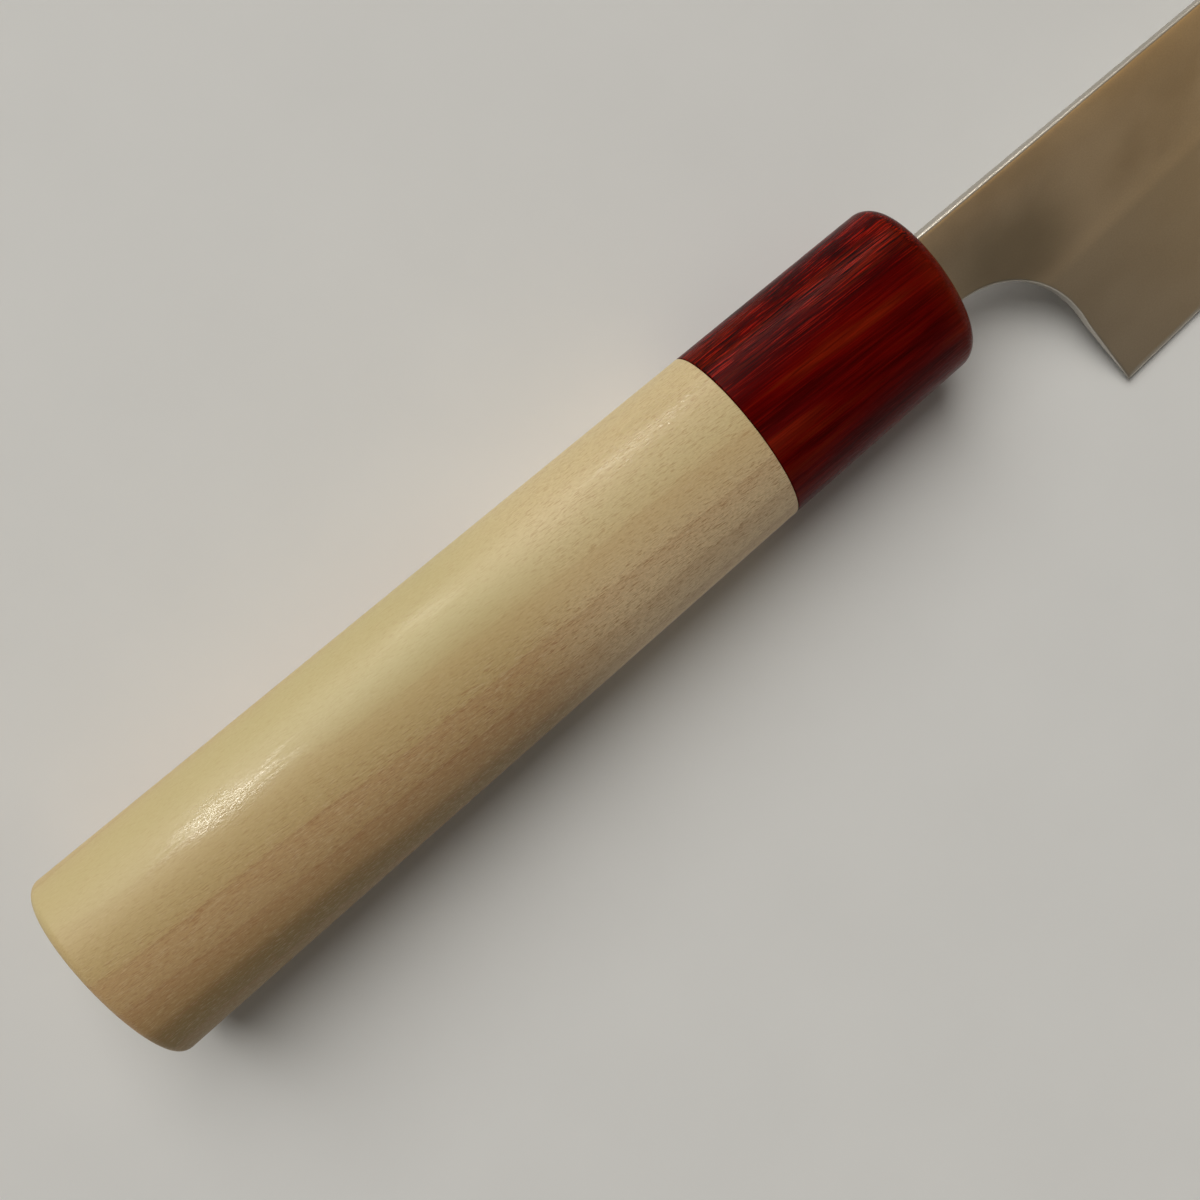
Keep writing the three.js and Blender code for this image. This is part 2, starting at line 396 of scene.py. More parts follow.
# %% Ferrule
FERRULE_LENGTH = 28.7 * MM
FERRULE_WALL = 2.8 * MM
TENON_LENGTH = 18.0 * MM
GLUE_LINE = 0.3 * MM
MOUTH_ROUNDING = 2.2 * MM
MOUTH_SEGMENTS = 10
JOINT_EASING = 0.14 * MM
JOINT_SEGMENTS = 3

ferrule = oval_bar("ferrule_collar", -FERRULE_LENGTH, 0.0)
round_ring(0.0, MOUTH_ROUNDING, MOUTH_SEGMENTS)
round_ring(-FERRULE_LENGTH, JOINT_EASING, JOINT_SEGMENTS)
push_end(-FERRULE_LENGTH, FERRULE_WALL, TENON_LENGTH + GLUE_LINE)
clear_selection()
print("ferrule", sizes_of(ferrule))

# %% [markdown]
# The slot's cutter is a block a little larger than the neck. The bevel runs along its four long edges only.

# %% Slot through the ferrule
NECK_TOP = 4.7 * MM
NECK_BOTTOM = -5.0 * MM
STOCK = 2.3 * MM
SLOT_ROOM = 1.4 * MM
SLOT_CORNER = 1.0 * MM
SLOT_OVERRUN = 2.0 * MM
BLOCK_SEGMENTS = 5


def neck_block(name, back, front, room, corner):
    """A block around the neck with a little room on every side and rounded long edges."""
    clear_selection()
    bpy.ops.mesh.primitive_cube_add(size=1.0)
    block = bpy.context.object
    block.name = name
    block.scale = (front - back, NECK_TOP - NECK_BOTTOM + 2 * room, STOCK + 2 * room)
    block.location = ((back + front) / 2, (NECK_TOP + NECK_BOTTOM) / 2, 0)
    bpy.ops.object.transform_apply(location=True, rotation=True, scale=True)
    bpy.ops.object.mode_set(mode="EDIT")
    shape = bmesh.from_edit_mesh(block.data)
    bpy.ops.mesh.select_mode(type="EDGE")
    bpy.ops.mesh.select_all(action="DESELECT")
    for edge in shape.edges:
        lengthwise = abs(edge.verts[0].co.x - edge.verts[1].co.x) > TOUCH
        edge.select_set(lengthwise)
    bmesh.update_edit_mesh(block.data)
    bpy.ops.mesh.bevel(offset=corner, segments=BLOCK_SEGMENTS, affect="EDGES")
    return block


slot_cutter = neck_block("slot cutter", -FERRULE_LENGTH, SLOT_OVERRUN, SLOT_ROOM, SLOT_CORNER)
cut_away(ferrule, slot_cutter)
print("ferrule slotted:", len(ferrule.data.polygons), "faces")

# %% [markdown]
# ## The grip
# The pale wood runs from the butt to the joint, with a tenon that goes into the ferrule and a blind bore for
# the tang. The butt's edge is rounded a little, and the edge at the joint is only eased, so that the joint
# shows as a fine dark line.

# %% Grip
BUTT_ROUNDING = 1.2 * MM
BUTT_SEGMENTS = 8
JOINT_LINE = 0.08 * MM
TANG_BORE_END = -87.4 * MM
BORE_ROOM = 0.2 * MM
BORE_CORNER = 0.3 * MM

grip_front = -FERRULE_LENGTH - JOINT_LINE
grip = oval_bar("grip", -handle_length, grip_front)
round_ring(-handle_length, BUTT_ROUNDING, BUTT_SEGMENTS)
round_ring(grip_front, JOINT_EASING, JOINT_SEGMENTS)
push_end(grip_front, FERRULE_WALL + GLUE_LINE, TENON_LENGTH)
bore_cutter = neck_block("bore cutter", TANG_BORE_END, 0.0, BORE_ROOM, BORE_CORNER)
cut_away(grip, bore_cutter)
print("grip", sizes_of(grip), len(grip.data.polygons), "faces")

# %% [markdown]
# ## The mouth's seal
# A thin fill of sealant closes the slot around the neck, so that water stays out of the handle. It is made of
# two open tubes, one as large as the slot and one that fits the neck. The inner one stands forward a little,
# as a soft fill creeps up along metal, and bridges between their rims close the ring at both ends.

# %% Seal
SEAL_DEPTH = 2.2 * MM
SEAL_DIP = 0.2 * MM
SEAL_CREEP = 0.4 * MM
SEAL_FIT = 0.02 * MM
SEAL_OUTER_ROOM = SLOT_ROOM - SEAL_FIT
SEAL_INNER_ROOM = -0.12 * MM
NECK_CORNER = 0.4 * MM


def neck_tube(name, back, front, room, corner):
    """The four walls of a block around the neck, without its two ends."""
    tube = neck_block(name, back, front, room, corner)
    pick("FACE", lambda spot: at(back)(spot) or at(front)(spot))
    bpy.ops.mesh.delete(type="ONLY_FACE")
    clear_selection()
    return tube


seal = neck_tube("mouth_fill", -SEAL_DEPTH, -SEAL_DIP, SEAL_OUTER_ROOM, SLOT_CORNER)
neck_wall = neck_tube("neck wall", -SEAL_DEPTH, SEAL_CREEP - SEAL_DIP, SEAL_INNER_ROOM, NECK_CORNER)
seal.select_set(True)
neck_wall.select_set(True)
bpy.context.view_layer.objects.active = seal
bpy.ops.object.join()
bpy.ops.object.mode_set(mode="EDIT")
pick("EDGE", at(-SEAL_DEPTH))
bpy.ops.mesh.bridge_edge_loops()
pick("EDGE", lambda spot: at(-SEAL_DIP)(spot) or at(SEAL_CREEP - SEAL_DIP)(spot))
bpy.ops.mesh.bridge_edge_loops()
bpy.ops.mesh.select_all(action="SELECT")
bpy.ops.mesh.normals_make_consistent(inside=False)
clear_selection()
print("seal", sizes_of(seal), len(seal.data.polygons), "faces")

# %% [markdown]
# ## The blade's outline
# The spine falls a little towards the tip and then curves down to it. The edge runs straight from the heel
# and rises in a belly. A round choil joins the neck to the heel. The outline is walked as two paths that are
# followed together: the upper one along the tang, neck and spine, the lower one along the tang, neck, choil,
# heel and edge. Straight ribs between them make the blade.

# %% Blade outline
BLADE_LENGTH = 150.0 * MM
HEEL = Vector((16.6, -27.9)) * MM
TIP = Vector((HEEL.x + BLADE_LENGTH, -10.0 * MM))
CHOIL_START = 1.9 * MM
CHOIL_RADIUS = 13.4 * MM
SPINE_SLOPE = -math.tan(math.radians(0.35))
SPINE_OVER_CHOIL = 20.0 * MM
SPINE_OVER_HEEL = 29.0 * MM
SPINE_OVER_EDGE = 66.0 * MM
SPINE_CURVE_LENGTH = 52.0 * MM
SPINE_SHOULDER = 17.0 * MM
EDGE_SLOPE = math.tan(math.radians(3.0))
EDGE_STRAIGHT = 45.0 * MM
BELLY_SHOULDER = 42.0 * MM
TANG_END = -86.0 * MM
NECK_DEPTH = -4.0 * MM
NECK_SHOULDER = 0.3 * MM
TANG_ROOT = 4.0 * MM
TANG_POINT = 2.3 * MM


def spine_point(x):
    """A point on the straight spine."""
    return Vector((x, NECK_TOP + SPINE_SLOPE * x))


def edge_line(x):
    """Height of the straight edge, carried on in front and behind."""
    return HEEL.y + EDGE_SLOPE * (x - HEEL.x)


def edge_point(x):
    """A point on the line of the straight edge."""
    return Vector((x, edge_line(x)))


neck_top_front = spine_point(CHOIL_START)
spine_over_choil = spine_point(SPINE_OVER_CHOIL)
spine_over_heel = spine_point(SPINE_OVER_HEEL)
spine_over_edge = spine_point(SPINE_OVER_EDGE)
spine_curve_start = spine_point(TIP.x - SPINE_CURVE_LENGTH)
spine_control = spine_point(TIP.x - SPINE_SHOULDER)
choil_centre = Vector((CHOIL_START, NECK_BOTTOM - CHOIL_RADIUS))
choil_end = choil_centre + Vector((CHOIL_RADIUS, 0))
edge_straight_end = edge_point(HEEL.x + EDGE_STRAIGHT)
belly_control = edge_point(TIP.x - BELLY_SHOULDER)
print("heel", [round(value / MM, 1) for value in HEEL], "tip", [round(value / MM, 1) for value in TIP])

# %% [markdown]
# Each stretch of the two paths has the same number of points above and below, so that the ribs stand almost
# upright. A path is put together from straight stretches, one quarter turn and curves with one control point.

# %% Ribs of the blade
TANG_RIBS = 12
SHOULDER_RIBS = 2
NECK_RIBS = 6
CHOIL_RIBS = 36
HEEL_RIBS = 22
EDGE_RIBS = 60
BELLY_RIBS = 90
SPINE_STRAIGHT_SHARE = 0.45


def curve(start, control, end, steps):
    """Points of a quadratic curve, without its start."""
    shares = [step / steps for step in range(1, steps + 1)]
    return [start * (1 - t) ** 2 + control * 2 * t * (1 - t) + end * t * t for t in shares]


def straight(start, end, steps):
    """Evenly spaced points from start to end, without the start."""
    return [start.lerp(end, step / steps) for step in range(1, steps + 1)]


def round_corner(centre, radius, steps):
    """A quarter turn from above the centre to the tip's side of it, without its start."""
    angles = [math.pi / 2 * (1 - step / steps) for step in range(1, steps + 1)]
    return [centre + Vector((math.cos(angle), math.sin(angle))) * radius for angle in angles]


def tang_and_neck(side, neck_height, neck_front):
    """One rim of tang and neck, on the spine's side for a side of 1 and on the edge's side for -1."""
    tang_start = Vector((TANG_END, side * TANG_POINT))
    tang_root = Vector((NECK_DEPTH - NECK_SHOULDER, side * TANG_ROOT))
    neck_start = Vector((NECK_DEPTH, neck_height))
    path = [tang_start]
    path += straight(tang_start, tang_root, TANG_RIBS)
    path += straight(tang_root, neck_start, SHOULDER_RIBS)
    path += straight(neck_start, neck_front, NECK_RIBS)
    return path


def upper_path():
    """Tang, neck and spine."""
    path = tang_and_neck(1, NECK_TOP, neck_top_front)
    path += straight(neck_top_front, spine_over_choil, CHOIL_RIBS)
    path += straight(spine_over_choil, spine_over_heel, HEEL_RIBS)
    path += straight(spine_over_heel, spine_over_edge, EDGE_RIBS)
    straight_ribs = round(BELLY_RIBS * SPINE_STRAIGHT_SHARE)
    path += straight(spine_over_edge, spine_curve_start, straight_ribs)
    path += curve(spine_curve_start, spine_control, TIP, BELLY_RIBS - straight_ribs)
    return path


def lower_path():
    """Tang, neck, choil, heel and edge, with as many points as the upper path."""
    path = tang_and_neck(-1, NECK_BOTTOM, Vector((CHOIL_START, NECK_BOTTOM)))
    path += round_corner(choil_centre, CHOIL_RADIUS, CHOIL_RIBS)
    path += straight(choil_end, HEEL, HEEL_RIBS)
    path += straight(HEEL, edge_straight_end, EDGE_RIBS)
    path += curve(edge_straight_end, belly_control, TIP, BELLY_RIBS)
    return path


ribs = list(zip(upper_path(), lower_path()))
heel_rib = TANG_RIBS + SHOULDER_RIBS + NECK_RIBS + CHOIL_RIBS + HEEL_RIBS
print(len(ribs), "ribs, the heel is rib", heel_rib)

# %% [markdown]
# ## The blade's section
# Both upper faces are flat and lean together towards the tip and the edge. A wide bevel starts at a soft line
# 17.6 mm above the edge and thins the steel down to nothing. The smaller of the two thicknesses counts at
# every place, and the change between them is blended over a few millimetres, as a stone leaves it. Close to
# the spine the faces fall away a little, which catches the light in a soft band.

# %% Blade section
BEVEL_HEIGHT = 17.6 * MM
FLAT_AT_NECK = STOCK / 2
FLAT_ABOVE_HEEL = 1.0 * MM
FLAT_AT_CURVE = 0.7 * MM
EDGE_HALF = 0.1 * MM
BEVEL_BLEND = 0.09 * MM
CROWN_WIDTH = 5.0 * MM
CROWN_FALL = 0.17 * MM
CROWN_PART = 3

at_neck = Vector((0, NECK_TOP, FLAT_AT_NECK))
above_heel = Vector((HEEL.x, HEEL.y + BEVEL_HEIGHT, FLAT_ABOVE_HEEL))
at_curve = Vector((spine_curve_start.x, spine_curve_start.y, FLAT_AT_CURVE))
flat_normal = (above_heel - at_neck).cross(at_curve - at_neck)
belly_half = belly_control.x - edge_straight_end.x
belly_lean = TIP.x - 2 * belly_control.x + edge_straight_end.x


def flat_half(place):
    """Half thickness of the flat upper faces, a plane through the neck, the heel and the tip's curve."""
    away = Vector((place.x, place.y, 0)) - at_neck
    return min(-away.dot(flat_normal) / flat_normal.z, FLAT_AT_NECK)


def edge_height(x):
    """Height of the edge at a place along the knife, from its straight part and its belly."""
    if x <= edge_straight_end.x:
        return edge_line(x)
    way = min(x, TIP.x) - edge_straight_end.x
    share = (math.sqrt(belly_half * belly_half + belly_lean * way) - belly_half) / belly_lean
    rise = edge_straight_end.lerp(belly_control, share).lerp(belly_control.lerp(TIP, share), share)
    return rise.y


def half_thickness(place, below_spine):
    """Half of the steel's thickness at a place on the blade, so far below the spine."""
    edge = edge_height(place.x)
    bevel_top = Vector((place.x, edge + BEVEL_HEIGHT))
    bevel_slope = (flat_half(bevel_top) - EDGE_HALF) / BEVEL_HEIGHT
    flat = flat_half(place)
    bevel = EDGE_HALF + bevel_slope * (place.y - edge)
    near = max(BEVEL_BLEND - abs(flat - bevel), 0) / BEVEL_BLEND
    ground = min(flat, bevel) - near * near * BEVEL_BLEND / 4
    crown = max(1 - below_spine / CROWN_WIDTH, 0) ** 2 * min(CROWN_FALL, ground / CROWN_PART)
    return ground - crown


for name, place in (("neck", (0, 0)), ("bevel line", (40, -9)), ("tip", (160, -9))):
    print(name, f"{2 * half_thickness(Vector(place) * MM, CROWN_WIDTH) / MM:.2f} mm thick")

# %% [markdown]
# ## The blade
# A grid gives one column of points for each rib. The rows go from the spine's middle, round its eased corner,
# down the face and round the lower corner to the middle again, so the rim of the grid lies in the knife's
# middle plane. A mirror then makes the other face and closes the solid. The cutting edge has no rounding: its
# last row runs down to a point. The first rib is pressed flat, which closes the end of the tang.

# %% Rows down each rib
CORNER_STEPS = 6
FACE_ROWS = 56
ROW_COUNT = 2 * CORNER_STEPS + FACE_ROWS + 3
SPINE_EASING = 0.6 * MM
CHOIL_EASING = 0.3 * MM
EDGE_EASING = 0.25 * MM
RIB_PARTS = 5
FACE_SHARE = 0.8


def eased_corner(radius):
    """How far in from the outline and how far below the face each row of a rounded corner lies."""
    rows = []
    for step in range(CORNER_STEPS + 1):
        angle = math.pi / 2 * step / CORNER_STEPS
        rows.append((radius * (1 - math.sin(angle)), radius * (1 - math.cos(angle))))
    return rows


def rib_rows(top, bottom, sharp):
    """Points down one rib, each a place on the blade and its height above the middle plane."""
    rib_length = (bottom - top).length
    if rib_length < TOUCH:
        return [(top, 0.0)] * ROW_COUNT
    down = (bottom - top) / rib_length

    def face_at(depth):
        return half_thickness(top + down * depth, depth)

    spine_easing = min(SPINE_EASING, rib_length / RIB_PARTS, face_at(0.0) * FACE_SHARE)
    rows = [(top, 0.0)]
    for depth_in, drop in reversed(eased_corner(spine_easing)):
        rows.append((top + down * depth_in, face_at(spine_easing) - drop))
    lower_easing = min(EDGE_EASING if sharp else CHOIL_EASING, rib_length / RIB_PARTS)
    face_end = rib_length - lower_easing
    for step in range(1, FACE_ROWS):
        depth = spine_easing + (face_end - spine_easing) * step / FACE_ROWS
        rows.append((top + down * depth, face_at(depth)))
    lower_face = face_at(face_end)
    for depth_in, drop in eased_corner(lower_easing):
        to_point = lower_face * depth_in / lower_easing
        to_round = lower_face - min(drop, lower_face * FACE_SHARE)
        rows.append((bottom - down * depth_in, to_point if sharp else to_round))
    rows.append((bottom, 0.0))
    return rows


sections = [rib_rows(top, bottom, rib > heel_rib) for rib, (top, bottom) in enumerate(ribs)]
sections[0] = [(place, 0.0) for place, _ in sections[0]]
print(len(sections), "ribs of", ROW_COUNT, "points")

# %% [markdown]
# The grid's points come row by row, so a point's number gives its rib and its row.

# %% Blade solid
clear_selection()
bpy.ops.mesh.primitive_grid_add(x_subdivisions=len(ribs) - 1, y_subdivisions=ROW_COUNT - 1, size=1.0)
blade = bpy.context.object
blade.name = "blade_with_tang"
for vertex in blade.data.vertices:
    row, rib = divmod(vertex.index, len(ribs))
    place, height = sections[rib][row]
    vertex.co = (place.x, place.y, height)
mirror = blade.modifiers.new("other face", "MIRROR")
mirror.use_axis = (False, False, True)
mirror.merge_threshold = TOUCH
bpy.ops.object.modifier_apply(modifier="other face")
bpy.ops.object.mode_set(mode="EDIT")
bpy.ops.mesh.select_all(action="SELECT")
bpy.ops.mesh.remove_doubles(threshold=TOUCH)
bpy.ops.mesh.dissolve_degenerate(threshold=TOUCH / 2)
bpy.ops.mesh.normals_make_consistent(inside=False)
clear_selection()
print("blade", sizes_of(blade), len(blade.data.polygons), "faces")

# %% [markdown]
# ## Materials
# Every finish is drawn by nodes in the knife's own millimetres. A piece's Object coordinates are those of the
# scene, so a Mapping node turns them into the knife's axes first. The wood leaves the sawmill a few degrees
# off the grip's axis, and a second turn inside the same Mapping node gives that lean. A noise hardly leaves
# the middle of its range, so it is spread from there to the range that a finish needs.

# %% Helpers for patterns
NOISE_SPREAD = (0.3, 0.7)
FINE_SPREAD = (0.35, 0.65)


def knife_place(tree, lean=0.0):
    """Place on the knife in millimetres, with the pattern leaning towards the edge."""
    to_pattern = Matrix.Rotation(lean, 4, "Z") @ row_to_knife
    coordinates = add_node(tree, "ShaderNodeTexCoord")
    mapping = add_node(
        tree,
        "ShaderNodeMapping",
        Vector=coordinates.outputs["Object"],
        Location=to_pattern.to_translation() / MM,
        Rotation=to_pattern.to_euler("XYZ"),
        Scale=(1 / MM, 1 / MM, 1 / MM),
    )
    return mapping.outputs["Vector"]


def step_of(tree, kind, operation, first, second):
    """One node of arithmetic, with sockets or plain values as its inputs."""
    step = add_node(tree, kind, {"operation": operation})
    feed(tree, step.inputs[0], first)
    feed(tree, step.inputs[1], second)
    return step


def number(tree, operation, first, second=0.0):
    """One step of arithmetic on numbers."""
    return step_of(tree, "ShaderNodeMath", operation, first, second).outputs["Value"]


def vector(tree, operation, first, second):
    """One step of arithmetic on places."""
    return step_of(tree, "ShaderNodeVectorMath", operation, first, second).outputs["Vector"]


def distance(tree, place, centre):
    """How far a place lies from a centre."""
    return step_of(tree, "ShaderNodeVectorMath", "DISTANCE", place, centre).outputs["Value"]


def times(tree, first, *others):
    """Several numbers multiplied."""
    product = first
    for other in others:
        product = number(tree, "MULTIPLY", product, other)
    return product


def plus(tree, first, second):
    """Two numbers added."""
    return number(tree, "ADD", first, second)


def noise(tree, place, lumps=None, detail=2.0, roughness=0.5):
    """A noise value. Lumps says how many lumps it has along each axis for one unit of the place."""
    if lumps is not None:
        place = vector(tree, "MULTIPLY", place, lumps)
    made = add_node(tree, "ShaderNodeTexNoise", Vector=place, Scale=1.0, Detail=detail, Roughness=roughness)
    return made.outputs["Fac"]


def ramp(tree, value, stops):
    """A colour that follows a value through stops, each a position and a colour."""
    made = add_node(tree, "ShaderNodeValToRGB", Fac=value)
    elements = made.color_ramp.elements
    while len(elements) < len(stops):
        elements.new(0.5)
    for element, (position, colour) in zip(elements, stops):
        element.position = position
        element.color = colour
    return made.outputs["Color"]


def tinted(tree, colour, mask, tint):
    """A colour mixed towards a tint, a strength and a colour, where a mask shows it."""
    strength, target = tint
    return mixed(tree, times(tree, mask, strength), colour, target)


def connect(tree, shader, colour, roughness, relief, strength, depth):
    """Gives a shader its colour, its roughness and its relief, as a bump of a strength and a depth."""
    bump = add_node(tree, "ShaderNodeBump", Strength=strength, Distance=depth, Height=relief)
    feed(tree, shader.inputs["Base Color"], colour)
    feed(tree, shader.inputs["Roughness"], roughness)
    feed(tree, shader.inputs["Normal"], bump.outputs["Normal"])


print("pattern helpers ready")

# %% [markdown]
# ## Wood fibres, for both woods
# Seen close, planed wood is a mass of short cut fibres: dark flecks where a vessel is opened and pale threads
# between them. Both woods need this at their own length and width, so it is one group with named inputs.

# %% Fibre group
STRAND_SHIFT = (37.0, 11.0, 53.0)
FLECK_SPREAD = (0.54, 0.64)
THREAD_SPREAD = (0.52, 0.65)
FLECK_DEPTH = 0.4


def fibre_group():
    """Node group: dark flecks, pale threads and a height, stretched along X."""
    group = bpy.data.node_groups.new("cut fibres", "ShaderNodeTree")
    group.interface.new_socket("Place", in_out="INPUT", socket_type="NodeSocketVector")
    for name in ("Length", "Width"):
        group.interface.new_socket(name, in_out="INPUT", socket_type="NodeSocketFloat")
    for name in ("Fleck", "Thread", "Height"):
        group.interface.new_socket(name, in_out="OUTPUT", socket_type="NodeSocketFloat")
    given = add_node(group, "NodeGroupInput").outputs
    size = add_node(group, "ShaderNodeCombineXYZ", X=given["Length"], Y=given["Width"], Z=given["Width"])
    scaled = vector(group, "DIVIDE", given["Place"], size.outputs["Vector"])
    vessel = noise(group, scaled, detail=2.0, roughness=0.55)
    strand = noise(group, vector(group, "ADD", scaled, STRAND_SHIFT), detail=3.0, roughness=0.6)
    fleck = band(group, vessel, *FLECK_SPREAD)
    thread = band(group, strand, *THREAD_SPREAD)
    height = number(group, "SUBTRACT", strand, times(group, fleck, FLECK_DEPTH))
    add_node(group, "NodeGroupOutput", Fleck=fleck, Thread=thread, Height=height)
    return group


cut_fibres = fibre_group()


def fibres(tree, place, length, width):
    """The fibre group placed in a material, with its own fibre length and width in millimetres."""
    settings = {"node_tree": cut_fibres}
    used = add_node(tree, "ShaderNodeGroup", settings, Place=place, Length=length, Width=width)
    return used.outputs["Fleck"], used.outputs["Thread"], used.outputs["Height"]


print("group:", cut_fibres.name)

# %% [markdown]
# ## Growth rings of the pale wood
# The grip is pale magnolia-like wood. Growth lines about 4 mm apart slant across it: just below each line the
# wood is pinker, and it pales again up to the next one. Rings round a far-off pith give these lines, and the
# right arcs on the butt too. A slow wander and a fine wobble keep the rings from being perfect circles.

# %% Growth rings
ACROSS = (0.0, 1.0, 1.0)
PITH = (0.0, 70.0, 38.6)
LINE_RADIUS = 73.7
YEAR_WIDTH = 4.1
WANDER_LUMPS = (0.02, 0.05, 0.05)
WANDER = 0.7
WOBBLE_LUMPS = (0.14, 0.4, 0.4)
WOBBLE = 0.09
BREAK_LUMPS = (0.09, 0.5, 0.5)
LINE_START = (0.0, 0.02)
LINE_END = (0.12, 0.02)
LINE_BY_BREAK = (0.38, 0.66, 0.06, 0.4)
LINE_BY_ZONE = (0.12, 0.34, 0.3, 1.0)
LINE_BY_GRIT = (0.4, 0.6, 0.45, 1.0)
LINE_BY_PAINTED_LIGHT = (0.0, 1.0, 1.0, 0.5)


def growth_radius(tree, place):
    """Distance from the pith in millimetres, a little uneven."""
    wander = noise(tree, place, WANDER_LUMPS, detail=1.0)
    wobble = noise(tree, place, WOBBLE_LUMPS, detail=1.0)
    radius = distance(tree, vector(tree, "MULTIPLY", place, ACROSS), PITH)
    radius = plus(tree, radius, band(tree, wander, *NOISE_SPREAD, -WANDER, WANDER))
    return plus(tree, radius, band(tree, wobble, *NOISE_SPREAD, -WOBBLE, WOBBLE))


def growth_line(tree, place, year, zone, grit, lit_near_ferrule):
    """Mask of the thin line that starts each year: broken, gritty, and faint near the spine and under the
    painted light near the ferrule.
    """
    broken = noise(tree, place, BREAK_LUMPS)
    return times(
        tree,
        band(tree, year, *LINE_START),
        band(tree, year, *LINE_END),
        band(tree, broken, *LINE_BY_BREAK),
        band(tree, zone, *LINE_BY_ZONE),
        band(tree, grit, *LINE_BY_GRIT),
        band(tree, lit_near_ferrule, *LINE_BY_PAINTED_LIGHT),
    )


print("growth lines", YEAR_WIDTH, "mm apart")

# %% [markdown]
# ## Places rubbed by the hand
# The grip has a thin satin oil finish. The hand has rubbed three places on the spine's side to a shine. Each
# is an oval with a streaky rim, told by how far a place lies from the oval's centre.

# %% Rubbed places
RUBBED_PLACES = (
    {"centre": (-97.6, 8.3), "reach": (12.0, 3.4), "shine": 1.0},
    {"centre": (-69.8, 9.9), "reach": (8.0, 2.0), "shine": 0.6},
    {"centre": (-37.3, 9.3), "reach": (16.0, 2.8), "shine": 1.0},
)
STREAK_LUMPS = (0.16, 1.5, 1.5)
RAGGEDNESS = (-0.2, 0.3)
RUBBED_CORE = 0.1


def oval_distance(tree, place, centre, reach_each_way):
    """How far a place on the knife's side lies from an oval's centre: 0 there, 1 at the oval's rim."""
    flat_centre = (centre[0], centre[1], 0.0)
    to_oval = (1 / reach_each_way[0], 1 / reach_each_way[1], 0.0)
    away = vector(tree, "SUBTRACT", place, flat_centre)
    return distance(tree, vector(tree, "MULTIPLY", away, to_oval), (0.0, 0.0, 0.0))


def rubbed(tree, place):
    """A mask of the places that the hand has rubbed to a shine, with streaky rims."""
    streaks = noise(tree, place, STREAK_LUMPS)
    raggedness = band(tree, streaks, *NOISE_SPREAD, *RAGGEDNESS)
    mask = 0.0
    for spot in RUBBED_PLACES:
        from_centre = oval_distance(tree, place, spot["centre"], spot["reach"])
        patch = band(tree, plus(tree, from_centre, raggedness), 1.0, RUBBED_CORE)
        mask = number(tree, "MAXIMUM", mask, times(tree, patch, spot["shine"]))
    return mask


print(len(RUBBED_PLACES), "rubbed places")

# %% [markdown]
# ## Pale wood
# The wood is cream near the spine and warmer towards the edge. Its darkest olive band along the edge's side
# is partly the wood's own tone and partly painted shade. Near the ferrule, mostly on the edge's side, the
# wood is painted lighter, a painted pool of light. Flecks, threads and grit stand out more where the wood is
# warmer and under that painted light. Fine dimples make the rubbed places glitter. The relief of fibres and
# dimples is taken about its middle, so that a rubbed place has no step at its rim.

# %% Pale wood material
RING_LEAN = math.radians(2.4)
FIBRE_LEAN = math.radians(5.5)
FIBRE_LENGTH = 1.1
FIBRE_WIDTH = 0.11
GRIT_LUMPS = (2.4, 7.0, 7.0)
DIMPLE_LUMPS = (1.7, 4.0, 4.0)
YEARS_IN_VIEW = 4
# The lighter wood near the ferrule, mostly on the edge's side, is a painted pool of light.
PAINTED_LIGHT_STRETCH = (-68.0, -50.0)
PAINTED_LIGHT_BY_ZONE = (0.1, 0.5, 0.4, 0.95)
PINK_FADE = (0.75, 0.0)
COARSER_STRETCH = (-115.0, -45.0, 0.65, 1.0)
ROUGH_BY_ZONE = (0.05, 0.4, 0.25, 1.0)
ROUGH_WHERE_PAINTED_LIGHT = 0.55
WOOD_TONES_AND_EDGE_SHADE = (
    (0.04, paint(202, 187, 136)),
    (0.14, paint(203, 180, 128)),
    (0.32, paint(201, 174, 122)),
    (0.39, paint(199, 166, 117)),
    (0.62, paint(197, 163, 114)),
    (0.68, paint(193, 156, 107)),
    (0.86, paint(185, 149, 97)),
    # The darkest olive stop along the edge's side is partly the wood's own tone and partly painted shade.
    (0.93, paint(142, 117, 60)),
)
LINE_BROWN = paint(150, 98, 54)
PAINTED_LIGHT_TINT = (0.9, paint(236, 211, 169))
PINKER_TINT = (0.25, paint(182, 137, 97))
FLECK_TINT = (0.7, paint(164, 112, 68))
THREAD_TINT = (0.45, paint(230, 210, 172))
GRIT_TINT = (0.25, paint(146, 112, 72))
SATIN = 0.48
RUBBED_SATIN = 0.19
GRIT_SATIN = (-0.05, 0.07)
FIBRE_MIDDLE = 0.45
FIBRE_RELIEF = 0.4
DIMPLE_MIDDLE = 0.5
DIMPLE_RELIEF = 2.8
GRIT_RELIEF = 0.2
WOOD_BUMP = 0.6
WOOD_BUMP_DEPTH = 0.02 * MM


